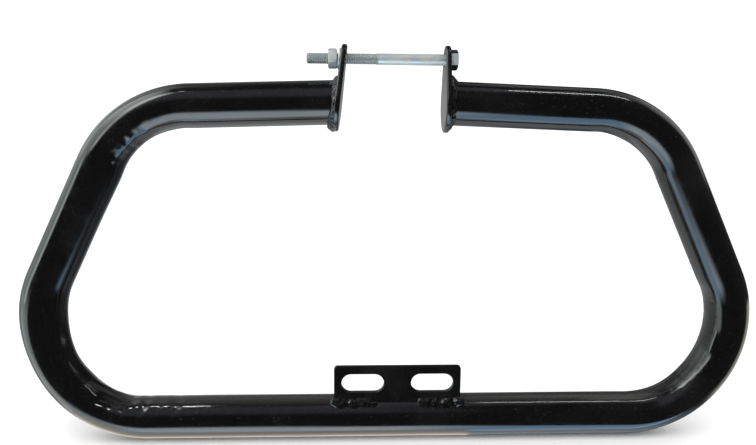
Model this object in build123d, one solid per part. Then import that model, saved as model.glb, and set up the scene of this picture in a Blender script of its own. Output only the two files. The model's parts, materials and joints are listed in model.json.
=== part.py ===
from build123d import *
from math import cos, radians, sin, tan
import os

# Engine guard for a motorcycle: one bent tube hoop, two ears that close on a frame lug with a
# long bolt, and a slotted plate for the lower frame. Sizes are in millimetres and degrees.
# The origin is the middle of the bolt between the ears. +X runs to the right along the bolt,
# +Y towards the back and +Z up, so the hoop hangs below the origin in the XZ plane.

# Hoop tube
tube_diameter = 31.75
tube_wall = 2.0
bend_radius = 76.7  # centre line of all four bends
upper_corner_x = 192.5  # where a top run and a leg would cross, from the middle
lower_corner_x = 308.3  # where a leg and the bottom run would cross, from the middle
hoop_drop = 270.8  # from the bolt down to the centre line of the bottom run
top_run_slope = 1.9  # how far a top run falls on its way out to the bend

# Ears
ear_gap = 70.8  # between the inner faces, at the bolt
ear_thickness = 4.0
ear_reach = 30.5  # from the bolt down to the centre line of the tube end
ear_head_radius = 10.0  # round the bolt hole
ear_foot_margin = 3.8  # how far the foot of an ear stands out past the tube
ear_foot_drop = 1.7  # how far the foot's middle lies below the tube's
left_ear_lean = 6.4  # the left ear's top leans towards the middle

# Bolt, nut and washer
bolt_diameter = 8.0
thread_diameter = 7.8
thread_length = 51.5
thread_chamfer = 1.0
bolt_tail = 15.2  # thread that stands out beyond the nut
hex_sides = 6
hex_flats = 13.0  # across the flats of the head and the nut
hex_face_relief = 0.4  # how far the chamfer cuts in from the flats on an end face
hex_chamfer_angle = 30.0
head_height = 5.3
nut_height = 6.5
nut_turn = 11.3  # how far the nut is turned from one corner straight up
washer_diameter = 15.0
washer_thickness = 1.6

# Slotted plate
plate_thickness = 4.0
plate_forward = 8.3  # its front face, ahead of the tube's centre line
plate_shift = 4.2  # its middle, to the right of the hoop's middle
plate_corner_radius = 2.5
slot_length = 32.5
slot_width = 14.6
slot_spacing = 53.3  # between the middles of the two slots
slot_end_margin = 5.7  # plate beyond the outer end of a slot
slot_top_margin = 6.0  # plate above the slots
slot_foot = 6.0  # plate between the top of the tube and the slots

# Welds
ear_weld_size = 3.0
plate_weld_size = 3.3
plate_weld_length = 30.0  # along the plate, from each end

# Clearances
bolt_hole_clearance = 1.0  # round the bolt, in the ears
washer_clearance = 0.5  # round the bolt, in the washer
thread_clearance = 0.05  # round the thread, in the nut
nut_seat_gap = 0.05  # between the nut and the nearest point of the washer

# Worked out from the sizes above
tube_radius = tube_diameter / 2
half_gap = ear_gap / 2
ear_foot_radius = tube_radius + ear_foot_margin
bolt_hole_radius = bolt_diameter / 2 + bolt_hole_clearance
head_seat_x = half_gap + ear_thickness
hex_face_radius = hex_flats / 2 - hex_face_relief
hex_half_step = 180 / hex_sides  # from the middle of a flat round to its corner
hex_corner_radius = hex_flats / 2 / cos(radians(hex_half_step))
slot_centre_z = -hoop_drop + tube_radius + slot_foot + slot_width / 2
plate_top_z = slot_centre_z + slot_width / 2 + slot_top_margin
plate_width = slot_spacing + slot_length + 2 * slot_end_margin


def right_ear_plane():
    # Inner face of the right ear, seen from the gap: local z runs outwards, local y runs up.
    return Plane(origin=(half_gap, 0, 0), x_dir=(0, 1, 0), z_dir=(1, 0, 0))


def left_ear_plane():
    # The same on the left, turned about the front to back line through the bolt.
    lean = radians(left_ear_lean)
    outwards = (-cos(lean), 0, sin(lean))
    return Plane(origin=(-half_gap, 0, 0), x_dir=(0, -1, 0), z_dir=outwards)


def left_foot_reach():
    # A leaning ear needs a little more length to meet the tube at the same height.
    return ear_reach / cos(radians(left_ear_lean))


def left_bolt_y(depth):
    # Where the level bolt passes the leaning ear's local y, so far out from its inner face.
    return -depth * tan(radians(left_ear_lean))


def hoop_path():
    fall = (upper_corner_x - half_gap) * tan(radians(top_run_slope))
    right_half = [
        (half_gap, 0, -ear_reach),
        (upper_corner_x, 0, -ear_reach - fall),
        (lower_corner_x, 0, -hoop_drop),
    ]
    left_half = [(-x, y, z) for x, y, z in right_half]
    return FilletPolyline(*left_half, *reversed(right_half), radius=bend_radius)


def along_hoop(profile):
    path = hoop_path()
    start = Plane(origin=path @ 0, z_dir=path % 0)
    return sweep(start * profile, path=path)


def behind_ear(plane, foot_reach):
    # Everything on the gap side of an ear's outer face, round one tube end.
    depth = half_gap + ear_thickness
    width = 2 * (tube_diameter + ear_weld_size)
    middle = Pos(0, -foot_reach, ear_thickness - depth / 2)
    return plane * middle * Box(width, width, depth)


def both_ear_sides():
    left = behind_ear(left_ear_plane(), left_foot_reach())
    right = behind_ear(right_ear_plane(), ear_reach)
    return [left, right]


def make_hoop_tube():
    ring = Circle(tube_radius) - Circle(tube_radius - tube_wall)
    return along_hoop(ring) - both_ear_sides()


def make_ear(plane, foot_reach, hole_y):
    head = Circle(ear_head_radius)
    foot = Pos(0, -foot_reach - ear_foot_drop) * Circle(ear_foot_radius)
    outline = make_hull(head.edges() + foot.edges())
    outline -= Pos(0, hole_y) * Circle(bolt_hole_radius)
    return extrude(plane * outline, amount=ear_thickness)


def make_ear_weld(plane, foot_reach):
    # A round bead on the corner between tube and ear, trimmed back to both of them.
    corner = plane * Pos(0, -foot_reach, ear_thickness)
    bead = corner * Torus(tube_radius, ear_weld_size)
    return bead - behind_ear(plane, foot_reach) - along_hoop(Circle(tube_radius))


def bolt_plane(x):
    # Square to the bolt: local z runs to the left along it, local x runs to the back.
    return Plane(origin=(x, 0, 0), x_dir=(0, 1, 0), z_dir=(-1, 0, 0))


def hex_blank(height, turn, chamfer_start):
    # Hexagon along local z, turned from one corner straight up. The corners of its end faces
    # are turned off at an angle.
    rim = (hex_corner_radius - hex_face_radius) * tan(radians(hex_chamfer_angle))
    start = [(hex_face_radius, 0), (hex_corner_radius, rim)]
    if not chamfer_start:
        start = [(hex_corner_radius, 0)]
    side = [*start, (hex_corner_radius, height - rim), (hex_face_radius, height)]
    outline = make_face(Polyline((0, 0), *side, (0, height), close=True))
    drum = revolve(Plane.XZ * outline, Axis.Z)
    rotation = turn + hex_half_step
    flats = RegularPolygon(hex_flats / 2, hex_sides, major_radius=False, rotation=rotation)
    return drum & extrude(flats, amount=height)


def make_bolt():
    # Local z runs from the head's seat down the shank; the head stands the other way.
    length = head_seat_x - nut_left_x() + bolt_tail
    shank = bolt_diameter / 2
    thread = thread_diameter / 2
    side = [
        (shank, 0),
        (shank, length - thread_length),
        (thread, length - thread_length),
        (thread, length - thread_chamfer),
        (thread - thread_chamfer, length),
    ]
    outline = make_face(Polyline((0, 0), *side, (0, length), close=True))
    rod = revolve(Plane.XZ * outline, Axis.Z)
    head = Rot(180, 0, 0) * hex_blank(head_height, turn=0, chamfer_start=False)
    return bolt_plane(head_seat_x) * (head + rod)


def nut_right_x():
    # The nut stays square to the bolt, so it meets the leaning washer at one edge only.
    lean = radians(left_ear_lean)
    stack = ear_thickness + washer_thickness
    washer_face_x = -half_gap - stack / cos(lean)
    return washer_face_x - hex_face_radius * tan(abs(lean)) - nut_seat_gap


def nut_left_x():
    return nut_right_x() - nut_height


def make_nut():
    bore = extrude(Circle(thread_diameter / 2 + thread_clearance), amount=nut_height)
    nut = hex_blank(nut_height, nut_turn, chamfer_start=True) - bore
    return bolt_plane(nut_right_x()) * nut


def make_washer():
    ring = Circle(washer_diameter / 2) - Circle(bolt_diameter / 2 + washer_clearance)
    bolt_y = left_bolt_y(ear_thickness + washer_thickness / 2)
    seat = left_ear_plane() * Pos(0, bolt_y, ear_thickness)
    return seat * extrude(ring, amount=washer_thickness)


def plate_outline():
    # Front view, from the tube's centre line up; local x and y are the row's X and Z.
    height = plate_top_z + hoop_drop
    sheet = Pos(plate_shift, -hoop_drop + height / 2) * Rectangle(plate_width, height)
    top_corners = sheet.vertices().group_by(Axis.Y)[-1]
    sheet = fillet(top_corners, plate_corner_radius)
    for side in (-1, 1):
        middle = Pos(plate_shift + side * slot_spacing / 2, slot_centre_z)
        sheet -= middle * SlotOverall(slot_length, slot_width)
    return sheet


def make_slotted_plate():
    front = Plane(origin=(0, -plate_forward, 0), x_dir=(1, 0, 0), z_dir=(0, -1, 0))
    sheet = extrude(front * plate_outline(), amount=-plate_thickness)
    return sheet - along_hoop(Circle(tube_radius))


def make_plate_weld(side):
    # A round ended bead in the corner below the plate's front face, wrapped round its end.
    corner_z = -hoop_drop + (tube_radius**2 - plate_forward**2) ** 0.5
    end_x = plate_shift + side * plate_width / 2
    middle_x = end_x - side * plate_weld_length / 2
    run = Rot(0, 90, 0) * Cylinder(plate_weld_size, plate_weld_length)
    bead = Pos(middle_x, -plate_forward, corner_z) * run
    for x in (end_x, end_x - side * plate_weld_length):
        bead += Pos(x, -plate_forward, corner_z) * Sphere(plate_weld_size)
    return bead - make_slotted_plate() - along_hoop(Circle(tube_radius))


def build_nodes():
    left = (left_ear_plane(), left_foot_reach())
    right = (right_ear_plane(), ear_reach)
    return {
        "hoop_tube": make_hoop_tube(),
        "left_ear": make_ear(*left, left_bolt_y(ear_thickness / 2)),
        "right_ear": make_ear(*right, 0),
        "left_ear_weld": make_ear_weld(*left),
        "right_ear_weld": make_ear_weld(*right),
        "slotted_plate": make_slotted_plate(),
        "left_plate_weld": make_plate_weld(-1),
        "right_plate_weld": make_plate_weld(1),
        "through_bolt": make_bolt(),
        "hex_nut": make_nut(),
        "flat_washer": make_washer(),
    }


os.makedirs("parts", exist_ok=True)
for node, solid in build_nodes().items():
    export_step(solid, f"parts/{node}.step")
    print(node, round(solid.volume), "mm3")
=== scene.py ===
import json
import math

import bmesh
import bpy
from mathutils import Matrix, Vector, noise


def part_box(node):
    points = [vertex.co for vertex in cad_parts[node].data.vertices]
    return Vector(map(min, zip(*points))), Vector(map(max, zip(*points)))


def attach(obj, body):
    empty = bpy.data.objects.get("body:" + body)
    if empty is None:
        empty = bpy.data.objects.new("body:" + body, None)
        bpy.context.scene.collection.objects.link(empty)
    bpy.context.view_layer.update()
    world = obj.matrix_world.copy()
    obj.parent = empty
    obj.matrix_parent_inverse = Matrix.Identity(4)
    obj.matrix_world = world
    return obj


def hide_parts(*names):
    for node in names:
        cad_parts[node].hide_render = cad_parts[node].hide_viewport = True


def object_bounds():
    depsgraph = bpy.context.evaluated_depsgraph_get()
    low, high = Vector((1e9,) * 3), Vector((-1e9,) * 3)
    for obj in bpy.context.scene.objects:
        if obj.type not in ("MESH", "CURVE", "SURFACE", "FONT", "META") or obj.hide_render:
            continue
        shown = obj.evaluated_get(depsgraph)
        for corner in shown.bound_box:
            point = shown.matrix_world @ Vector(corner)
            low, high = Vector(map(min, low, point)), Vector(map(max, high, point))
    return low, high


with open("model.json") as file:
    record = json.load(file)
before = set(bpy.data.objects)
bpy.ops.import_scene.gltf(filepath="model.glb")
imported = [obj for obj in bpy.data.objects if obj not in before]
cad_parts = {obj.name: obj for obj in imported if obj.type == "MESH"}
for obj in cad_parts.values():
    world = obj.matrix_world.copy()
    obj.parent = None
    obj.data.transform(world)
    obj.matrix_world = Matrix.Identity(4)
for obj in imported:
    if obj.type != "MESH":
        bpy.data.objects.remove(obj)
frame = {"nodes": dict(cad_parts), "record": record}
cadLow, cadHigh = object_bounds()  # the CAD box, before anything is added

# Engine guard in metres, +Z up, front towards -Y. The origin is the middle of the bolt.
# Angles in the dictionaries are in degrees.
fullTurn = 2 * math.pi
rightwards = Vector((1, 0, 0))
backwards = Vector((0, 1, 0))
upwards = Vector((0, 0, 1))
print("frame loaded,", len(frame["nodes"]), "CAD nodes")


def easeIn(low, high, value):
    share = min(max((value - low) / (high - low), 0), 1)
    return share * share * (3 - 2 * share)


def hill(value, middle, halfWidth, edge):
    # 1 within the half width, easing to 0 over the edge
    return 1 - easeIn(halfWidth, halfWidth + edge, abs(value - middle))


def addToScene(item):
    bpy.context.scene.collection.objects.link(item)


def addNode(tree, kind, inputs, **settings):
    node = tree.nodes.new("ShaderNode" + kind)
    for name, value in settings.items():
        setattr(node, name, value)
    for name, value in inputs.items():
        if isinstance(value, bpy.types.NodeSocket):
            tree.links.new(value, node.inputs[name])
        else:
            node.inputs[name].default_value = value
    return node


def scaled(tree, vector, factors):
    inputs = {0: vector, 1: factors}
    return addNode(tree, "VectorMath", inputs, operation="MULTIPLY").outputs[0]


def partOf(tree, vector, axis):
    return addNode(tree, "SeparateXYZ", {0: vector}).outputs[axis]


def noiseNode(tree, coords, size, detail):
    inputs = {"Vector": coords, "Scale": 1 / size, "Detail": detail}
    return addNode(tree, "TexNoise", inputs).outputs["Fac"]


def spread(tree, value, fromLow, fromHigh, toLow=0.0, toHigh=1.0):
    inputs = {0: value, 1: fromLow, 2: fromHigh, 3: toLow, 4: toHigh}
    return addNode(tree, "MapRange", inputs, interpolation_type="SMOOTHSTEP").outputs[0]


def calc(tree, operation, first, second=0.0):
    return addNode(tree, "Math", {0: first, 1: second}, operation=operation).outputs[0]


def times(tree, first, second):
    return calc(tree, "MULTIPLY", first, second)


def softBand(tree, value, low, high, edge):
    # 1 between low and high, easing to 0 over the edges
    rise = spread(tree, value, low - edge, low + edge)
    fall = spread(tree, value, high - edge, high + edge, 1.0, 0.0)
    return times(tree, rise, fall)


def mixColours(tree, factor, first, second):
    inputs = {0: factor, 6: first, 7: second}  # sockets 6 and 7 take the two colours
    return addNode(tree, "Mix", inputs, data_type="RGBA").outputs[2]


def bumpNode(tree, height, distance, below=None):
    inputs = {"Height": height, "Distance": distance, "Strength": 1.0}
    if below:
        inputs["Normal"] = below
    return addNode(tree, "Bump", inputs).outputs[0]


def emptyMaterial(name):
    material = bpy.data.materials.new(name)
    material.use_nodes = True
    material.node_tree.nodes.clear()
    coords = addNode(material.node_tree, "TexCoord", {}).outputs["Object"]
    return material, material.node_tree, coords


def closeMaterial(tree, inputs):
    shader = addNode(tree, "BsdfPrincipled", inputs)
    addNode(tree, "OutputMaterial", {"Surface": shader.outputs[0]})


# Limits are the noise values where a mark begins and where it is full. Facing is how far a
# face looks up, from -1 to 1.
glossPaint = {
    "name": "glossBlackPaint",
    "black": (0.0012, 0.0012, 0.0014, 1),
    "thin": (0.0045, 0.0045, 0.005, 1),  # where the coat is thinner
    "cloudSize": 0.055,
    "cloudLimits": (0.42, 0.72),
    "dust": (0.16, 0.155, 0.15, 1),
    "speckSize": 0.0009,
    "speckLimits": (0.69, 0.76),
    "speckFacing": (-0.6, 1.0),
    "speckShares": (0.1, 0.30),  # of dust in a speck, on what faces down and up
    "film": 0.16,  # thin dust along the top of the low run
    "filmFacing": (0.75, 1.0),
    "filmHeights": (-0.254, -0.242),  # thickest at the first, gone at the second
    "peelSize": 0.0022,
    "peelHeight": 0.000012,
    "waveSize": 0.028,
    "waveHeight": 0.00006,
    "roughSize": 0.01375,
    "roughLimits": (0.35, 0.75),
    "roughness": (0.10, 0.24),
    "dustRoughness": 0.5,  # added where dust lies thick
    "coat": 1.0,
    "coatRoughness": 0.035,
    "coatIor": 1.5,
}

weldPaint = dict(
    glossPaint,
    name="paintedWeld",
    thin=(0.007, 0.007, 0.0075, 1),
    cloudSize=0.006,
    peelSize=0.0011,
    peelHeight=0.00004,
    waveSize=0.004,
    waveHeight=0.00010,
    roughSize=0.0015,
    roughness=(0.14, 0.34),
    coat=0.6,
    coatRoughness=0.10,
)


def blackPaint(look):
    material, tree, coords = emptyMaterial(look["name"])
    clouds = noiseNode(tree, coords, look["cloudSize"], detail=5)
    thinned = spread(tree, clouds, *look["cloudLimits"])
    colour = mixColours(tree, thinned, look["black"], look["thin"])
    # specks of dust, thickest on what faces up
    specks = noiseNode(tree, coords, look["speckSize"], detail=1)
    specks = spread(tree, specks, *look["speckLimits"])
    facing = partOf(tree, addNode(tree, "NewGeometry", {}).outputs["Normal"], "Z")
    settled = spread(tree, facing, *look["speckFacing"], *look["speckShares"])
    settled = times(tree, specks, settled)
    low = spread(tree, partOf(tree, coords, "Z"), *look["filmHeights"], 1.0, 0.0)
    film = spread(tree, facing, *look["filmFacing"], 0.0, look["film"])
    film = times(tree, low, film)
    colour = mixColours(tree, calc(tree, "MAXIMUM", settled, film), colour, look["dust"])
    rough = noiseNode(tree, coords, look["roughSize"], detail=4)
    rough = spread(tree, rough, *look["roughLimits"], *look["roughness"])
    rough = calc(tree, "ADD", rough, times(tree, settled, look["dustRoughness"]))
    # a slow wave in the coat, then the fine peel on top
    wave = noiseNode(tree, coords, look["waveSize"], detail=1)
    wave = bumpNode(tree, wave, look["waveHeight"])
    peel = noiseNode(tree, coords, look["peelSize"], detail=1)
    peel = bumpNode(tree, peel, look["peelHeight"], wave)
    closeMaterial(tree, {
        "Base Color": colour,
        "Roughness": rough,
        "Normal": peel,
        "Coat Weight": look["coat"],
        "Coat Roughness": look["coatRoughness"],
        "Coat IOR": look["coatIor"],
        "Coat Normal": peel,
    })
    return material


# Where the bolt's thread and head begin, for its finish and for its shape
threadLength = 0.0515
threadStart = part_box("through_bolt")[0].x + threadLength
headHeight = 0.0053
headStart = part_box("through_bolt")[1].x - headHeight

zinc = {
    "name": "zincPlate",
    "bluish": (0.58, 0.65, 0.68, 1),
    "warm": (0.70, 0.71, 0.67, 1),
    "dull": (0.36, 0.40, 0.42, 1),
    "patchSize": 0.007,
    "patchLimits": (0.40, 0.66),
    "pitSize": 0.0007,
    "pitLimits": (0.62, 0.72),
    "pitShare": 0.5,
    "pitRoughness": 0.15,
    "streakStretch": (0.06, 1.0, 1.0),  # drawn out along the bolt
    "streakSize": 0.0010,
    "streakLimits": (0.50, 0.80),
    "streakShare": 0.55,
    "streakHeight": 0.00002,
    "roughLimits": (0.30, 0.70),
    "roughness": (0.30, 0.48),
    "metal": 0.56,  # the rest is light scattered in the plating
    "threadShade": (0.20, 0.24, 0.245, 1),  # painted shade in the thread's grooves
    "threadShadeShare": 0.62,
    "threadShadeRadii": (0.0039, 0.0043),  # thickest within the first, gone at the second
    "shankShare": 0.25,  # how dull the shank and the head are
    "threadFade": 0.0006,  # over which the painted thread shade gives way to the shank
    "headShade": (0.016, 0.016, 0.018, 1),  # painted shade: a dark reflection painted on the head's upper and lower faces
    "headShadeFacing": (0.5, 0.8),  # up or down
    "headFade": 0.0004,
}


def zincPlate(look):
    material, tree, coords = emptyMaterial(look["name"])
    patches = noiseNode(tree, coords, look["patchSize"], detail=4)
    streaks = noiseNode(tree, scaled(tree, coords, look["streakStretch"]), look["streakSize"], detail=3)
    pits = noiseNode(tree, coords, look["pitSize"], detail=2)
    pits = spread(tree, pits, *look["pitLimits"])
    warmed = spread(tree, patches, *look["patchLimits"])
    colour = mixColours(tree, warmed, look["bluish"], look["warm"])
    dulled = spread(tree, streaks, *look["streakLimits"], 0.0, look["streakShare"])
    colour = mixColours(tree, dulled, colour, look["dull"])
    colour = mixColours(tree, times(tree, pits, look["pitShare"]), colour, look["dull"])
    # painted shade in the thread's grooves: close to the bolt's axis, and left of where the thread
    # begins
    aside = scaled(tree, coords, (0, 1, 1))
    radius = addNode(tree, "VectorMath", {0: aside}, operation="LENGTH").outputs["Value"]
    along = partOf(tree, coords, "X")
    threadEnd = (threadStart - look["threadFade"], threadStart)
    groovesShaded = spread(tree, radius, *look["threadShadeRadii"], look["threadShadeShare"], 0.0)
    inThread = times(tree, groovesShaded, spread(tree, along, *threadEnd, 1.0, 0.0))
    colour = mixColours(tree, inThread, colour, look["threadShade"])
    pastThread = spread(tree, along, *threadEnd, 0.0, look["shankShare"])
    colour = mixColours(tree, pastThread, colour, look["dull"])
    # painted shade: a dark reflection painted on the head's upper and lower sides, with no metal there
    normal = addNode(tree, "NewGeometry", {}).outputs["True Normal"]
    slope = calc(tree, "ABSOLUTE", partOf(tree, normal, "Z"))
    onHead = spread(tree, along, headStart, headStart + look["headFade"])
    headShadeMask = times(tree, onHead, spread(tree, slope, *look["headShadeFacing"]))
    colour = mixColours(tree, headShadeMask, colour, look["headShade"])
    metal = times(tree, spread(tree, headShadeMask, 0.0, 1.0, 1.0, 0.0), look["metal"])
    rough = spread(tree, patches, *look["roughLimits"], *look["roughness"])
    rough = calc(tree, "ADD", rough, times(tree, pits, look["pitRoughness"]))
    closeMaterial(tree, {
        "Base Color": colour,
        "Metallic": metal,
        "Roughness": rough,
        "Normal": bumpNode(tree, streaks, look["streakHeight"]),
    })
    return material


finishes = {
    "gloss_black_paint": blackPaint(glossPaint),
    "painted_weld": blackPaint(weldPaint),
    "zinc_plate": zincPlate(zinc),
}
print("finishes made:", ", ".join(finishes))


def dressPiece(piece, node, finish):
    addToScene(piece)
    piece.data.materials.clear()
    piece.data.materials.append(finishes[finish])
    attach(piece, "root")
    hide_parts(node)
    print(piece.name, "stands for", node, "with", len(piece.data.polygons), "faces")


def meshPiece(name, points, faces, node, finish, sharpAngle):
    mesh = bpy.data.meshes.new(name)
    mesh.from_pydata(points, [], faces)
    shape = bmesh.new()
    shape.from_mesh(mesh)
    bmesh.ops.recalc_face_normals(shape, faces=shape.faces)
    shape.to_mesh(mesh)
    shape.free()
    mesh.shade_smooth()
    mesh.set_sharp_from_angle(angle=math.radians(sharpAngle))
    dressPiece(bpy.data.objects.new(name, mesh), node, finish)


def bandFaces(here, there, around):
    # quads between two rings, given by their first points
    faces = []
    for i in range(around):
        j = (i + 1) % around
        faces.append((here + i, here + j, there + j, there + i))
    return faces


def skinFaces(rings, around, start=0, closed=False):
    # bands between neighbouring rings; a closed skin joins the last ring to the first
    faces = []
    for ring in range(rings if closed else rings - 1):
        here = start + ring * around
        there = start + (ring + 1) % rings * around
        faces += bandFaces(here, there, around)
    return faces


def capFaces(points, ring):
    # a fan from the ring's middle
    middle = sum((points[i] for i in ring), Vector()) / len(ring)
    points.append(middle)
    return [(ring[i], ring[(i + 1) % len(ring)], len(points) - 1) for i in range(len(ring))]


# The tube and the ears' inner faces, from the frame
tubeLow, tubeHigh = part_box("hoop_tube")
tubeRadius = (tubeHigh.y - tubeLow.y) / 2
bottomZ = tubeLow.z + tubeRadius  # centre line of the bottom run
mountAxes = {mount["name"]: Vector(mount["axis"]) for mount in frame["record"]["mounts"]}
mountPlaces = {mount["name"]: Vector(mount["pos_m"]) for mount in frame["record"]["mounts"]}
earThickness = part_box("right_ear")[1].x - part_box("right_ear")[0].x


def earOutwards(side):
    # the way that an ear's outer face looks
    return -mountAxes[side + "_ear_face"].normalized()


def onEarPlane(point, heading, side):
    # slid along the tube onto the ear's outer face
    outwards = earOutwards(side)
    place = mountPlaces[side + "_ear_face"] + outwards * earThickness
    return point + heading * ((place - point).dot(outwards) / heading.dot(outwards))


hoop = {
    "endX": 0.0354,  # inner faces of the ears
    "endZ": -0.0305,
    "upperCornerX": 0.1925,  # where the straight runs would cross
    "lowerCornerX": 0.3083,
    "topSlope": 1.9,  # how a top run falls on its way out
    "bendRadius": 0.0767,
    "wall": 0.002,
    "around": 90,
    "fineStep": 0.0009,  # in and near the bends
    "longStep": 0.005,
    "fineReach": 0.045,  # how far the fine rings go on past a bend
    "boreEvery": 16,  # the bore needs fewer rings
    "sharpAngle": 50,
}

# Wrinkles on the inside of the bends, in the order of the path. Places are along the path from
# the middle of the bend, turns are round the tube from its inside towards the front. Uneven is
# how much of a wrinkle is chance, not an even wave.
wrinkles = [
    {
        "place": 0.010, "halfLength": 0.029, "wave": 0.0098, "depth": 0.00046, "uneven": 0.6,
        "turn": 50, "turnWidth": 30,
    },
    {
        "place": 0.056, "halfLength": 0.068, "wave": 0.0130, "depth": 0.00066, "uneven": 0.6,
        "turn": 42, "turnWidth": 34,
    },
    {
        "place": -0.010, "halfLength": 0.066, "wave": 0.0108, "depth": 0.00026, "uneven": 0.8,
        "turn": 40, "turnWidth": 34,
    },
    {
        "place": -0.012, "halfLength": 0.020, "wave": 0.0120, "depth": 0.00014, "uneven": 0.8,
        "turn": 46, "turnWidth": 30,
    },
]
wrinkleShape = {
    "flatShare": 0.55,  # of the half length at full depth, before it fades
    "turnFlatShare": 0.3,  # the same round the tube
    "insideShare": 0.45,  # depth left right on the inside of the bend
    "insideFlat": 20,
    "insideFade": 30,
    "wander": 1.8,  # how the even waves bunch and spread
    "slant": 0.0035,
    "chanceHeight": 2,
    # how fast each changes along the waves and round the tube, and what sets the bends apart
    "wanderRate": 0.7,
    "wanderSeed": 9.1,
    "wanderLayer": 0.3,
    "slantRate": 0.8,
    "slantTwist": 1.2,
    "chanceRate": 1.3,
    "chanceTwist": 0.5,
    "chanceSeed": 4.7,
}

# Where the inside of a bend is pressed flat, up to a creased edge at the turn. Fade is the share
# of the half length over which a crease dies out.
creases = [
    {
        "bend": 0, "place": 0.008, "halfLength": 0.040, "turn": 48,
        "draw": 0.0009, "ridge": 0.00030, "fade": 0.9,
    },
    {
        "bend": 1, "place": 0.026, "halfLength": 0.042, "turn": 48,
        "draw": 0.0005, "ridge": 0.0, "fade": 0.3,
    },
    {
        "bend": 2, "place": 0.008, "halfLength": 0.078, "turn": 33,
        "draw": 0.0010, "ridge": 0.00008, "fade": 0.3,
    },
]
creaseShape = {
    "wander": 7.0,  # how far the edge strays
    "wanderSize": 0.010,
    "jog": 4.0,
    "jogSize": 0.0035,
    "round": 0.12,  # of the edge
    "ridgeWidth": 11.0,
}

# Where bending pushed the tube out of round: out is how far the skin stands off
pushes = [
    {"bend": 0, "place": 0.032, "reach": 0.054, "turn": 0, "out": 0.0008},
    {"bend": 1, "place": -0.042, "reach": 0.044, "turn": 0, "out": 0.0019},
    {"bend": 1, "place": 0.042, "reach": 0.034, "turn": 0, "out": -0.0021},
    {"bend": 1, "place": -0.020, "reach": 0.044, "turn": 180, "out": -0.0013},
    {"bend": 2, "place": -0.038, "reach": 0.030, "turn": 0, "out": -0.0010},
]

# How the inside of every bend is drawn in. Shares are of the half length of a bend.
flattening = {"inside": 0.0005, "flat": 15, "fade": 62, "fullShare": 0.7, "fadeShare": 0.4}


def hoopCorners():
    fall = (hoop["upperCornerX"] - hoop["endX"]) * math.tan(math.radians(hoop["topSlope"]))
    left = [
        Vector((-hoop["endX"], 0, hoop["endZ"])),
        Vector((-hoop["upperCornerX"], 0, hoop["endZ"] - fall)),
        Vector((-hoop["lowerCornerX"], 0, bottomZ)),
    ]
    right = [Vector((-corner.x, 0, corner.z)) for corner in reversed(left)]
    return left + right


def hoopStretches():
    # straight runs and bends in turn, from the left ear
    corners = hoopCorners()
    radius = hoop["bendRadius"]
    stretches = []
    here = corners[0]
    for before, corner, after in zip(corners, corners[1:], corners[2:]):
        heading = (corner - before).normalized()
        onwards = (after - corner).normalized()
        turn = heading.angle(onwards)
        setBack = radius * math.tan(turn / 2)
        runEnd = corner - heading * setBack
        length = (runEnd - here).length
        stretches.append({"kind": "run", "start": here, "heading": heading, "length": length})
        length = radius * turn
        stretches.append({"kind": "bend", "start": runEnd, "heading": heading, "length": length})
        here = corner + onwards * setBack
    heading = (corners[-1] - corners[-2]).normalized()
    length = (corners[-1] - here).length
    stretches.append({"kind": "run", "start": here, "heading": heading, "length": length})
    return stretches


def insideOf(heading):
    # the hoop is followed anticlockwise, so its inside is on the left hand
    return Vector((-heading.z, 0, heading.x))


def pointAlong(stretch, distance):
    # place and heading of the centre line
    start, heading = stretch["start"], stretch["heading"]
    if stretch["kind"] == "run":
        return start + heading * distance, heading
    angle = distance / hoop["bendRadius"]
    inside = insideOf(heading)
    middle = start + inside * hoop["bendRadius"]
    turned = heading * math.cos(angle) + inside * math.sin(angle)
    return middle - insideOf(turned) * hoop["bendRadius"], turned


def hoopStations():
    # (distance from the left ear, place, heading) of each ring, and (middle, half) of each bend
    stretches = hoopStretches()
    lengths = [stretch["length"] for stretch in stretches]
    begins = [sum(lengths[:i]) for i in range(len(lengths))]
    bends = []
    for begin, stretch in zip(begins, stretches):
        if stretch["kind"] == "bend":
            half = stretch["length"] / 2
            bends.append((begin + half, half))
    stations = []
    for begin, stretch in zip(begins, stretches):
        distance = 0
        while distance < stretch["length"]:
            reached = begin + distance
            stations.append((reached, *pointAlong(stretch, distance)))
            away = min(abs(reached - middle) - half for middle, half in bends)
            distance += hoop["fineStep"] if away < hoop["fineReach"] else hoop["longStep"]
    stations.append((begins[-1] + lengths[-1], *pointAlong(stretches[-1], lengths[-1])))
    return stations, bends


def wrinkleDepth(along, turn, index):
    # the crumpled skin of one bend, along from its middle
    look, shape = wrinkles[index], wrinkleShape
    along = along - look["place"]
    flat = look["halfLength"] * shape["flatShare"]
    reach = hill(along, 0, flat, look["halfLength"] - flat)
    if reach == 0:
        return 0
    place = along / look["wave"]
    spot = Vector((place * shape["wanderRate"], index * shape["wanderSeed"], shape["wanderLayer"]))
    wander = shape["wander"] * noise.noise(spot)
    spot = Vector((place * shape["slantRate"], turn * shape["slantTwist"], index))
    slant = shape["slant"] / look["wave"] * noise.noise(spot)
    even = math.sin(fullTurn * (place + slant) + wander)
    spot = Vector((place * shape["chanceRate"] + slant, index * shape["chanceSeed"],
                   turn * shape["chanceTwist"]))
    chance = shape["chanceHeight"] * noise.noise(spot)
    share = look["uneven"]
    crumple = 0.5 + 0.5 * (even * (1 - share) + chance * share)
    degrees = math.degrees(turn)
    across = hill(degrees, look["turn"], look["turnWidth"] * shape["turnFlatShare"], look["turnWidth"])
    inside = hill(degrees, 0, shape["insideFlat"], shape["insideFade"])
    across = max(across, shape["insideShare"] * inside)
    return look["depth"] * reach * across * crumple


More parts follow.
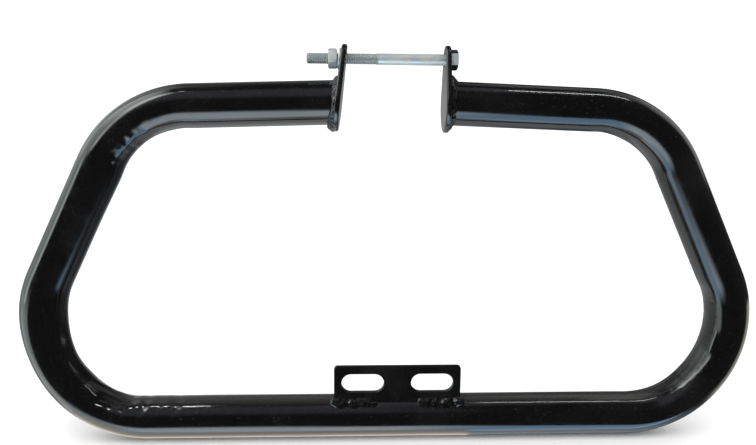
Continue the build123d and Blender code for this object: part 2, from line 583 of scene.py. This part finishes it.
def creaseDepth(along, turn, index):
    # a flat drawn in as far as the creased edge, with a ridge raised along it
    shape = creaseShape
    degrees = math.degrees(turn)
    depth = 0
    for crease in creases:
        away = along - crease["place"]
        if crease["bend"] == index and abs(away) < crease["halfLength"]:
            fade = crease["halfLength"] * crease["fade"]
            reach = hill(away, 0, crease["halfLength"] - fade, fade)
            stray = shape["wander"] * noise.noise(Vector((along / shape["wanderSize"], index, 0)))
            stray += shape["jog"] * noise.noise(Vector((along / shape["jogSize"], index, 1)))
            edge = crease["turn"] + stray
            flat = 1 - (degrees / edge) ** 2
            depth += crease["draw"] * reach * (flat + math.hypot(flat, shape["round"])) / 2
            across = (degrees - edge) / shape["ridgeWidth"]
            depth -= crease["ridge"] * reach * math.exp(-across * across)
    return depth


def pushedOut(along, turn, index):
    # long smooth swellings and hollows
    out = 0
    for push in pushes:
        away = abs(along - push["place"]) / push["reach"]
        if push["bend"] == index and away < 1:
            facing = max(math.cos(turn - math.radians(push["turn"])), 0) ** 2
            out += push["out"] * facing * (0.5 + 0.5 * math.cos(math.pi * away))
    return out


def skinDepth(reached, turn, bends):
    # how far the skin is drawn in at this place along and round the tube
    drawn = hill(math.degrees(turn), 0, flattening["flat"], flattening["fade"])
    depth = 0
    for index, (middle, half) in enumerate(bends):
        along = reached - middle
        if abs(along) < half + hoop["fineReach"]:
            inBend = hill(along, 0, half * flattening["fullShare"], half * flattening["fadeShare"])
            depth += flattening["inside"] * inBend * drawn
            depth += wrinkleDepth(along, turn, index) + creaseDepth(along, turn, index)
            depth -= pushedOut(along, turn, index)
    return depth


def hoopRing(station, radiusAt, earSide):
    # points round the tube from its inside towards the front; an end ring lies on its ear
    reached, centre, heading = station
    inside = insideOf(heading)
    ring = []
    for i in range(hoop["around"]):
        turn = fullTurn * i / hoop["around"]
        outwards = inside * math.cos(turn) - backwards * math.sin(turn)
        point = centre + outwards * radiusAt(reached, turn)
        ring.append(onEarPlane(point, heading, earSide) if earSide else point)
    return ring


def makeHoop():
    stations, bends = hoopStations()
    around = hoop["around"]
    clear = tubeRadius / 2  # no ring but the end ones this near an ear
    total = stations[-1][0]
    between = [station for station in stations[1:-1] if clear < station[0] < total - clear]
    stations = [stations[0], *between, stations[-1]]
    lastRing = len(stations) - 1
    ends = {0: "left", lastRing: "right"}

    def skinRadius(reached, turn):
        signed = turn if turn < math.pi else turn - fullTurn  # the back is negative
        return tubeRadius - skinDepth(reached, signed, bends)

    def boreRadius(reached, turn):
        return tubeRadius - hoop["wall"]

    points = []
    for index, station in enumerate(stations):
        points += hoopRing(station, skinRadius, ends.get(index))
    faces = skinFaces(len(stations), around)
    # the bore, with fewer rings, and the two ring-shaped end faces
    bore = sorted({lastRing, *range(0, len(stations), hoop["boreEvery"])})
    boreStart = len(points)
    for index in bore:
        points += hoopRing(stations[index], boreRadius, ends.get(index))
    faces += skinFaces(len(bore), around, boreStart)
    faces += bandFaces(0, boreStart, around)
    faces += bandFaces(lastRing * around, len(points) - around, around)
    meshPiece("bentHoop", points, faces, "hoop_tube", "gloss_black_paint", hoop["sharpAngle"])


makeHoop()

# Pull is how far the welding drew a plate's front round to the left. Edges nearer the bolt's
# axis than hole stay sharp.
flatParts = {
    "leftEarPlate": {"node": "left_ear", "edge": 0.0015, "segments": 6, "hole": 0.0075, "pull": 1.3},
    "rightEarPlate": {"node": "right_ear", "edge": 0.0015, "segments": 6, "hole": 0.0075, "pull": 1.3},
    "slottedPlate": {"node": "slotted_plate", "edge": 0.0003, "segments": 3, "hole": 0, "pull": 0},
}
flatMesh = {
    "mergeDistance": 0.00002,
    "flatAngle": 0.4,  # faces that turn by less become one
    "cornerAngle": 35,  # edges that turn by more are rounded
    "roundProfile": 0.5,
    "sharpAngle": 40,
}


def makeFlatPart(name, look):
    # the CAD solid with its cut edges rounded over
    mesh = bpy.data.meshes.new(name)
    shape = bmesh.new()
    shape.from_mesh(frame["nodes"][look["node"]].data)
    bmesh.ops.remove_doubles(shape, verts=shape.verts, dist=flatMesh["mergeDistance"])
    flatAngle = math.radians(flatMesh["flatAngle"])
    bmesh.ops.dissolve_limit(shape, angle_limit=flatAngle, verts=shape.verts, edges=shape.edges)
    cornerAngle = math.radians(flatMesh["cornerAngle"])
    rims = [edge for edge in shape.edges if edge.is_manifold and edge.calc_face_angle() > cornerAngle]
    rims = [edge for edge in rims if edge.verts[0].co.yz.length > look["hole"]]
    bmesh.ops.bevel(shape, geom=rims, offset=look["edge"], segments=look["segments"],
                    profile=flatMesh["roundProfile"], affect="EDGES", clamp_overlap=False)
    bmesh.ops.recalc_face_normals(shape, faces=shape.faces)
    for corner in shape.verts:
        corner.co.x += corner.co.y * math.tan(math.radians(look["pull"]))
    shape.to_mesh(mesh)
    shape.free()
    mesh.shade_smooth()
    mesh.set_sharp_from_angle(angle=math.radians(flatMesh["sharpAngle"]))
    piece = bpy.data.objects.new(name, mesh)
    flat = piece.modifiers.new("flatFaces", "WEIGHTED_NORMAL")  # broad faces stay flat
    flat.keep_sharp = True
    dressPiece(piece, look["node"], "gloss_black_paint")


for name, look in flatParts.items():
    makeFlatPart(name, look)

# Ripples of every bead
beadShape = {
    "bow": 0.35,  # of a ripple, across the bead
    "stray": 0.6,
    "crown": 1.7,  # higher is flatter on top
    "sharpAngle": 70,
}

earWeld = {
    "size": 0.0031,
    "round": 0.65,  # 0 is a flat fillet, 1 a round bead
    "fuller": 0.0017,  # how much bigger the bead is under the left tube end and over the right one
    "fullerPower": 3,  # higher keeps that to a shorter stretch
    "corner": 90,  # between the tube and the ear
    "ripple": 0.0034,  # from one ripple to the next
    "rippleHeight": 0.00012,
    "lump": 0.0010,
    "lumpSize": 0.0038,
    "around": 300,
    "section": 14,
    "sink": 9,  # how far round the bead runs on into the tube and the ear
    "root": 0.0007,
}


def filletRadius(angle, cornerAngle, roundness):
    # share of the bead's size, from the root of the corner out to its skin
    half = math.radians(cornerAngle) / 2
    flat = math.cos(half) / math.cos(angle - half)
    return roundness + (1 - roundness) * flat


def beadHeight(along, across, place, look):
    # slow lumps with overlapping ripples on them, bowed across the bead
    bow = beadShape["bow"] * math.sin(math.pi * across)
    uneven = noise.noise(place / look["lumpSize"])
    beat = (along / look["ripple"] + bow + beadShape["stray"] * uneven) % 1
    ripple = look["rippleHeight"] * (1 - abs(2 * beat - 1) ** beadShape["crown"])
    return ripple + look["lump"] * uneven


def makeEarWeld(side):
    look = earWeld
    outwards = earOutwards(side)
    corners = hoopCorners() if side == "left" else hoopCorners()[::-1]
    tubeEnd = corners[0]
    heading = (corners[1] - tubeEnd).normalized()
    inside = insideOf(heading)
    count = round(fullTurn * tubeRadius / look["ripple"])
    ripples = dict(look, ripple=fullTurn * tubeRadius / count)  # closes on itself
    points = []
    for i in range(look["around"]):
        turn = fullTurn * i / look["around"]
        radial = inside * math.cos(turn) - backwards * math.sin(turn)
        corner = onEarPlane(tubeEnd + radial * tubeRadius, heading, side)
        onEar = (radial - outwards * radial.dot(outwards)).normalized()
        base = look["size"] + look["fuller"] * max(math.cos(turn), 0) ** look["fullerPower"]
        for k in range(look["section"]):
            across = k / (look["section"] - 1)
            angle = math.radians(-look["sink"] + across * (look["corner"] + 2 * look["sink"]))
            ray = onEar * math.cos(angle) + heading * math.sin(angle)
            size = base * filletRadius(angle, look["corner"], look["round"])
            size += beadHeight(turn * tubeRadius, across, corner + ray * base, ripples)
            points.append(corner + ray * size)
        points.append(corner - (radial + outwards) * look["root"])  # under the surfaces
    faces = skinFaces(look["around"], look["section"] + 1, closed=True)
    weldName = side + "EarWeld"
    meshPiece(weldName, points, faces, side + "_ear_weld", "painted_weld", beadShape["sharpAngle"])


for side in ("left", "right"):
    makeEarWeld(side)

plateWeld = {
    "size": 0.0034,
    "round": 0.35,
    "endLump": 0.0004,  # how much fuller it is round the plate's end
    "length": 0.030,
    "tipShare": 0.999,  # how much of a round end is made before it is capped
    "ripple": 0.0042,
    "rippleHeight": 0.00012,
    "lump": 0.0012,
    "lumpSize": 0.0046,
    "step": 0.0003,
    "section": 18,
    "sink": 8,
    "root": 0.0007,
}


def makePlateWeld(side):
    look = plateWeld
    plateLow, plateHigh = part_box("slotted_plate")
    out = -1 if side == "left" else 1
    endX = plateLow.x if side == "left" else plateHigh.x
    corner = Vector((0, plateLow.y, bottomZ + math.sqrt(tubeRadius**2 - plateLow.y**2)))
    opening = 90 + math.degrees(math.asin(-plateLow.y / tubeRadius))  # from the plate to the tube
    length, tip = look["length"], look["size"]
    cut = tip * look["tipShare"]
    count = round((length + 2 * tip) / look["step"])
    points = []
    for index in range(count + 1):
        along = -cut + index / count * (length + 2 * cut)  # 0 at the inner end
        past = max(-along, along - length, 0)
        fullness = math.sqrt(1 - (past / tip) ** 2)
        x = endX - out * (length - along)
        low = -opening if along > length else 0  # goes on round behind the plate's end
        atEnd = easeIn(length - 2 * tip, length, along)
        roundness = look["round"] + (1 - look["round"]) * atEnd
        for k in range(look["section"]):
            across = k / (look["section"] - 1)
            angle = math.radians(low - look["sink"] + across * (opening - low + 2 * look["sink"]))
            ray = upwards * math.cos(angle) - backwards * math.sin(angle)
            place = corner + rightwards * x + ray * look["size"]
            share = 1 if atEnd == 1 else filletRadius(angle, opening, roundness)
            size = look["size"] * share + look["endLump"] * atEnd
            size = (size + beadHeight(along, across, place, look)) * fullness
            points.append(corner + rightwards * x + ray * size)
        inwards = (backwards - upwards) * look["root"] * fullness
        points.append(corner + rightwards * x + inwards)
    loop = look["section"] + 1
    faces = skinFaces(count + 1, loop)
    for ring in (0, count):
        faces += capFaces(points, list(range(ring * loop, (ring + 1) * loop)))
    weldName = side + "PlateWeld"
    meshPiece(weldName, points, faces, side + "_plate_weld", "painted_weld", beadShape["sharpAngle"])


for side in ("left", "right"):
    makePlateWeld(side)

# Shared by the bolt's head and the nut
hexShape = {
    "flats": 0.0130,
    "cornerWear": 0.978,  # corners rounded to this share of their radius
    "faceRelief": 0.0004,
    "faceInset": 0.0003,  # the last of the flat, in from the chamfer
    "faceEdge": 0.00004,  # how far it is rounded down from there
    "chamferAngle": 30,
    "chamferRings": 6,
    "around": 120,
    "sharpAngle": 42,
}
sixth = fullTurn / 6
hexCornerRadius = hexShape["flats"] / 2 / math.cos(sixth / 2)

bolt = {
    "shankRadius": 0.0040,
    "shankRings": 12,
    "shoulder": 0.0003,  # from the shank down to the thread
    "pitch": 0.00125,
    "crest": 0.00392,
    "threadDepth": 0.00048,
    "rootShare": 0.16,  # flat bottom of the thread, in half pitches
    "flankShare": 0.66,
    "ringsPerPitch": 8,
    "endChamfer": 0.0010,
    "runOut": 0.0025,
    "faceRings": (0.0020, 0.0045),  # on the end of the head
    "seatEdge": 0.0002,  # where the sides of the head turn in to its seat
    "seatInset": 0.0001,
    "fillet": 0.0005,  # under the head
    "filletRings": [(0, 1.4), (0, 1), (0.4, 0.3), (1, 0)],  # along and out, in fillets
}

nut = {"turn": -11.3, "boreRadius": 0.00395, "countersink": 0.0006}  # top corner turned to the back

washer = {
    "outerRadius": 0.0075,
    "innerRadius": 0.0045,
    "thickness": 0.0016,
    "edge": 0.0003,
    "cornerCut": 0.6,  # of the edge, off the rounded corner
    "around": 96,
    "sharpAngle": 50,
}


def hexRadius(turn, offset):
    # turn is measured round +X from straight up; a corner is up where the offset is 0
    fromFlat = (turn - offset) % sixth - sixth / 2
    return min(hexShape["flats"] / 2 / math.cos(fromFlat), hexCornerRadius * hexShape["cornerWear"])


def roundRings(*pairs):
    return [(x, lambda turn, radius=radius: radius) for x, radius in pairs]


def hexRings(faceX, inwards, offset):
    # (x, radius by turn) from the flat end face down over the chamfer; inwards is +1 or -1 along X
    slope = math.tan(math.radians(hexShape["chamferAngle"]))
    faceRadius = hexShape["flats"] / 2 - hexShape["faceRelief"]
    rings = roundRings((faceX, faceRadius - hexShape["faceInset"]),
                       (faceX + inwards * hexShape["faceEdge"], faceRadius))
    count = hexShape["chamferRings"]
    for k in range(1, count + 1):
        reach = faceRadius + (hexCornerRadius - faceRadius) * k / count
        x = faceX + inwards * (reach - faceRadius) * slope
        rings.append((x, lambda turn, reach=reach: min(reach, hexRadius(turn, offset))))
    return rings


def ringPoints(rings, around):
    points = []
    for x, radiusAt in rings:
        for i in range(around):
            turn = fullTurn * i / around
            radius = radiusAt(turn)
            points.append(Vector((x, -radius * math.sin(turn), radius * math.cos(turn))))
    return points


def threadRadius(x, turn, endX):
    # trapezoid ridge on a right-hand helix
    beat = (x / bolt["pitch"] - turn / fullTurn) % 1
    ridge = (1 - abs(2 * beat - 1) - bolt["rootShare"]) / bolt["flankShare"]
    ridge = min(max(ridge, 0), 1)
    runOut = easeIn(threadStart, threadStart - bolt["runOut"], x)
    radius = bolt["crest"] - bolt["threadDepth"] * (1 - ridge) * runOut
    return min(radius, bolt["crest"] - bolt["endChamfer"] + (x - endX))  # turned off at the tip


def makeBolt():
    low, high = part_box("through_bolt")
    shank, fillet = bolt["shankRadius"], bolt["fillet"]
    rings = roundRings(*[(high.x, radius) for radius in bolt["faceRings"]])
    rings += hexRings(high.x, -1, 0)
    rings.append((headStart + bolt["seatEdge"], lambda turn: hexRadius(turn, 0)))
    rings.append((headStart, lambda turn: hexRadius(turn, 0) - bolt["seatInset"]))
    for along, out in bolt["filletRings"]:
        rings += roundRings((headStart - fillet * along, shank + fillet * out))
    for k in range(1, bolt["shankRings"]):
        x = headStart + (threadStart - headStart) * k / bolt["shankRings"]
        rings += roundRings((x, shank))
    rings += roundRings((threadStart + bolt["shoulder"], shank), (threadStart, bolt["crest"]))
    count = round(threadLength / bolt["pitch"] * bolt["ringsPerPitch"])
    for k in range(1, count + 1):
        x = threadStart - threadLength * k / count
        rings.append((x, lambda turn, x=x: threadRadius(x, turn, low.x)))
    around = hexShape["around"]
    points = ringPoints(rings, around)
    faces = skinFaces(len(rings), around)
    for ring in (0, len(rings) - 1):
        faces += capFaces(points, list(range(ring * around, (ring + 1) * around)))
    meshPiece("zincBolt", points, faces, "through_bolt", "zinc_plate", hexShape["sharpAngle"])


def makeNut():
    low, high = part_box("hex_nut")
    offset = math.radians(nut["turn"])
    bore, sink = nut["boreRadius"], nut["countersink"]
    right = hexRings(high.x, -1, offset)
    left = hexRings(low.x, 1, offset)
    rings = roundRings((high.x - sink, bore), (high.x, bore + sink)) + right + left[::-1]
    rings += roundRings((low.x, bore + sink), (low.x + sink, bore))
    points = ringPoints(rings, hexShape["around"])
    faces = skinFaces(len(rings), hexShape["around"], closed=True)
    meshPiece("zincNut", points, faces, "hex_nut", "zinc_plate", hexShape["sharpAngle"])


def makeWasher():
    outwards = earOutwards("left")
    low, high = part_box("flat_washer")
    middle = (low + high) / 2
    across = backwards.cross(outwards)
    edge, top = washer["edge"], washer["thickness"] / 2
    inner, outer = washer["innerRadius"], washer["outerRadius"]
    cut = edge * washer["cornerCut"]
    # radius and height from the middle, round the section; the punched rim is rounded on one side
    section = [
        (inner, edge - top),
        (inner + edge, -top),
        (outer - edge / 2, -top),
        (outer, edge / 2 - top),
        (outer, top - 2 * edge),
        (outer - cut, top - cut),
        (outer - 2 * edge, top),
        (inner + edge, top),
        (inner, top - edge),
    ]
    points = []
    for i in range(washer["around"]):
        turn = fullTurn * i / washer["around"]
        radial = backwards * math.cos(turn) + across * math.sin(turn)
        points += [middle + radial * radius + outwards * height for radius, height in section]
    faces = skinFaces(washer["around"], len(section), closed=True)
    meshPiece("zincWasher", points, faces, "flat_washer", "zinc_plate", washer["sharpAngle"])


makeBolt()
makeNut()
makeWasher()

floorLook = {
    "size": 8.0,
    "pale": (0.95, 0.95, 0.95, 1),
    "shade": (0.92, 0.92, 0.925, 1),
    "grain": 0.02,
    "roughness": 0.9,
}


def flatSheet(name, halfWide, halfDeep, z=0):
    signs = [(-1, -1), (1, -1), (1, 1), (-1, 1)]
    corners = [(x * halfWide, y * halfDeep, z) for x, y in signs]
    mesh = bpy.data.meshes.new(name)
    mesh.from_pydata(corners, [], [(0, 1, 2, 3)])
    sheet = bpy.data.objects.new(name, mesh)
    addToScene(sheet)
    return sheet


def makeFloor():
    half = floorLook["size"] / 2
    floor = flatSheet("paleFloor", half, half, cadLow.z)
    material, tree, coords = emptyMaterial("floorPaper")
    grain = noiseNode(tree, coords, floorLook["grain"], detail=3)
    colour = mixColours(tree, grain, floorLook["pale"], floorLook["shade"])
    closeMaterial(tree, {"Base Color": colour, "Roughness": floorLook["roughness"]})
    floor.data.materials.append(material)
    floor.visible_glossy = False  # reflections take the studio's own glow from below


# The studio as seen in the paint: soft panels by azimuth (0 is the front, + to the right) and
# elevation. An edge past 180 round, or past 90 up, has no end.
studio = {
    "white": 1.22,
    "dark": (0.045, 0.044, 0.042),
    "panels": [
        # paper in front and below, bluer to its sides
        {"around": (-38, -6), "up": (-74, -37), "edge": 8, "glow": (2.15, 2.45, 2.70)},
        {"around": (-6, 14), "up": (-74, -43), "edge": 7, "glow": (2.15, 2.45, 2.70)},
        {"around": (-76, -38), "up": (-74, -38), "edge": 8, "glow": (1.10, 1.55, 2.05)},
        {"around": (14, 72), "up": (-78, -46), "edge": 4, "glow": (0.80, 1.35, 2.00)},
        {"around": (-110, -52), "up": (-100, -58), "edge": 10, "glow": (0.55, 0.57, 0.57)},
        {"around": (-200, 200), "up": (-110, -72), "edge": 8, "glow": (0.52, 0.50, 0.46)},
        # paper and wall behind
        {"around": (-200, -105), "up": (-76, -40), "edge": 12, "glow": (0.64, 0.67, 0.69)},
        {"around": (62, 200), "up": (-76, -50), "edge": 12, "glow": (0.46, 0.50, 0.54)},
        {"around": (-166, -106), "up": (-40, 25), "edge": 10, "glow": (0.30, 0.32, 0.32)},
        {"around": (-200, -166), "up": (-44, 8), "edge": 8, "glow": (0.28, 0.29, 0.29)},
        {"around": (-200, -106), "up": (25, 58), "edge": 10, "glow": (0.10, 0.10, 0.11)},
        {"around": (92, 160), "up": (40, 60), "edge": 6, "glow": (0.19, 0.20, 0.20)},
        {"around": (164, 200), "up": (-50, 10), "edge": 6, "glow": (0.18, 0.19, 0.20)},
        {"around": (96, 200), "up": (-50, -16), "edge": 6, "glow": (0.05, 0.06, 0.07)},
        {"around": (-142, -108), "up": (8, 66), "edge": 8, "glow": (0.38, 0.40, 0.40)},
        # window on the left, in three rows of panes with a bright frame
        {"around": (-112, -50), "up": (14, 63), "edge": 3, "glow": (1.05, 1.15, 1.13)},
        {"around": (-62, -50), "up": (14, 61), "edge": 2, "glow": (1.40, 1.45, 1.40)},
        {"around": (-106, -56), "up": (33, 57), "edge": 6, "glow": (0.85, 0.85, 0.80)},
        {"around": (-68, -52), "up": (38, 57), "edge": 4, "glow": (1.80, 1.80, 1.70)},
        {"around": (-108, -70), "up": (-8, 14), "edge": 3, "glow": (0.65, 0.75, 0.75)},
        {"around": (-84, -70), "up": (-8, 14), "edge": 2, "glow": (1.20, 1.25, 1.20)},
        {"around": (-104, -55), "up": (-40, -8), "edge": 5, "glow": (1.05, 1.18, 1.17)},
        # ceiling
        {"around": (-48, 10), "up": (34, 74), "edge": 12, "glow": (0.19, 0.19, 0.225)},
        {"around": (-10, 105), "up": (66, 100), "edge": 6, "glow": (0.16, 0.17, 0.19)},
    ],
}


def makeStudio():
    world = bpy.data.worlds.new("studio")
    bpy.context.scene.world = world
    world.use_nodes = True
    world.cycles.sampling_method = "NONE"
    tree = world.node_tree
    tree.nodes.clear()
    degreesPerRadian = math.degrees(1)
    ray = addNode(tree, "TexCoord", {}).outputs["Generated"]
    forwards = times(tree, partOf(tree, ray, "Y"), -1.0)
    azimuth = calc(tree, "ARCTAN2", partOf(tree, ray, "X"), forwards)
    azimuth = times(tree, azimuth, degreesPerRadian)
    elevation = calc(tree, "ARCSINE", partOf(tree, ray, "Z"))
    elevation = times(tree, elevation, degreesPerRadian)
    glow = studio["dark"]
    for panel in studio["panels"]:
        sideways = softBand(tree, azimuth, *panel["around"], panel["edge"])
        upright = softBand(tree, elevation, *panel["up"], panel["edge"])
        inputs = {0: panel["glow"], 1: times(tree, sideways, upright), 2: glow}
        glow = addNode(tree, "VectorMath", inputs, operation="MULTIPLY_ADD").outputs[0]
    # the camera and soft light see plain white, the paint sees the panels
    plain = addNode(tree, "Background", {"Color": (1, 1, 1, 1), "Strength": studio["white"]})
    mirrored = addNode(tree, "Background", {"Color": glow, "Strength": 1.0})
    shiny = addNode(tree, "LightPath", {}).outputs["Is Glossy Ray"]
    mixed = addNode(tree, "MixShader", {0: shiny, 1: plain.outputs[0], 2: mirrored.outputs[0]})
    addNode(tree, "OutputWorld", {"Surface": mixed.outputs[0]})


# Paper near the guard, which only the paint mirrors: three sheets on the floor, one hung on the
# right
papers = {
    "tanPaper": {
        "middle": (-0.10, -0.004, cadLow.z),
        "tilt": (0, 0, 0),
        "size": (0.32, 0.028),
        "edge": 0.004,
        "glow": (1.08, 0.97, 0.86, 1),
    },
    "greyPaper": {
        "middle": (-0.315, -0.031, cadLow.z),
        "tilt": (0, 0, 11.3),
        "size": (0.21, 0.035),
        "edge": 0.006,
        "glow": (1.45, 1.44, 1.36, 1),
    },
    "palePaper": {
        "middle": (0.62, 0.14, cadLow.z),
        "tilt": (0, 0, 0),
        "size": (0.66, 0.33),
        "edge": 0.02,
        "glow": (0.66, 0.66, 0.61, 1),
    },
    "rimPaper": {
        "middle": (0.34, 0.05, 0.02),
        "tilt": (0, 65, 28),
        "size": (0.17, 0.13),
        "edge": 0.02,
        "glow": (0.46, 0.47, 0.46, 1),
    },
}


def makePapers():
    for name, look in papers.items():
        halfWide, halfDeep = look["size"][0] / 2, look["size"][1] / 2
        edge = look["edge"]
        paper = flatSheet(name, halfWide + edge, halfDeep + edge)
        paper.location = look["middle"]
        paper.rotation_euler = [math.radians(angle) for angle in look["tilt"]]
        material, tree, coords = emptyMaterial(name)
        sideways = softBand(tree, partOf(tree, coords, "X"), -halfWide, halfWide, edge)
        lengthways = softBand(tree, partOf(tree, coords, "Y"), -halfDeep, halfDeep, edge)
        share = times(tree, sideways, lengthways)
        clear = addNode(tree, "BsdfTransparent", {}).outputs[0]
        shine = addNode(tree, "Emission", {"Color": look["glow"], "Strength": 1.0}).outputs[0]
        mixed = addNode(tree, "MixShader", {0: share, 1: clear, 2: shine}).outputs[0]
        addNode(tree, "OutputMaterial", {"Surface": mixed})
        material.cycles.emission_sampling = "NONE"
        paper.data.materials.append(material)
        paper.visible_camera = False
        paper.visible_diffuse = False
        paper.visible_shadow = False


# Narrow lamps overhead, each aimed at a place on the bottom run
strips = {
    "leftStrip": {
        "from": -0.43, "to": -0.29, "y": -0.124, "width": 0.012,
        "aim": -0.168, "fan": 11, "power": 0.0013,
    },
    "bendStrip": {
        "from": -0.20, "to": -0.05, "y": -0.640, "width": 0.060,
        "aim": -0.235, "fan": 11, "power": 0.0018,
    },
    "rightStrip": {
        "from": 0.20, "to": 0.50, "y": -0.050, "width": 0.012,
        "aim": 0.35, "fan": 180, "power": 0.165,
    },
}
stripHeight = 0.40


def makeStrips():
    for name, look in strips.items():
        light = bpy.data.lights.new(name, "AREA")
        light.shape = "RECTANGLE"
        light.size = look["to"] - look["from"]
        light.size_y = look["width"]
        light.energy = look["power"]
        light.spread = math.radians(look["fan"])
        lamp = bpy.data.objects.new(name, light)
        lamp.location = ((look["from"] + look["to"]) / 2, look["y"], stripHeight)
        shine = (Vector((look["aim"], 0, bottomZ)) - lamp.location).normalized()
        longWay = (rightwards - shine * shine.x).normalized()
        crossWay = longWay.cross(shine)
        lamp.rotation_euler = Matrix((longWay, crossWay, -shine)).transposed().to_euler()
        lamp.visible_camera = False
        addToScene(lamp)


# A wide soft lamp overhead and in front, which the paint doesn't mirror
softLamp = {"place": (-0.15, -0.60, 1.10), "size": 0.9, "power": 7.0}


def makeSoftLamp():
    light = bpy.data.lights.new("softLamp", "AREA")
    light.size = softLamp["size"]
    light.energy = softLamp["power"]
    lamp = bpy.data.objects.new("softLamp", light)
    lamp.location = softLamp["place"]
    lamp.rotation_euler = (-lamp.location).to_track_quat("-Z", "Y").to_euler()
    lamp.visible_camera = False
    lamp.visible_glossy = False
    addToScene(lamp)


camera = {
    "place": (-0.02988, -0.44543, -0.04827),
    "tilt": (81.062, -0.516, -2.275),
    "lens": 28.79,  # millimetres, as is the sensor
    "sensor": 36.0,
    "nearest": 0.01,
}


def makeCamera():
    lens = bpy.data.cameras.new("photoCamera")
    lens.lens = camera["lens"]
    lens.sensor_fit = "HORIZONTAL"
    lens.sensor_width = camera["sensor"]
    lens.clip_start = camera["nearest"]
    view = bpy.data.objects.new("photoCamera", lens)
    view.location = camera["place"]
    view.rotation_euler = [math.radians(angle) for angle in camera["tilt"]]
    addToScene(view)
    bpy.context.scene.camera = view


makeFloor()
makeStudio()
makePapers()
makeStrips()
makeSoftLamp()
makeCamera()
bpy.context.scene.view_settings.view_transform = "Standard"
print("floor, light and camera placed")

bpy.context.view_layer.update()
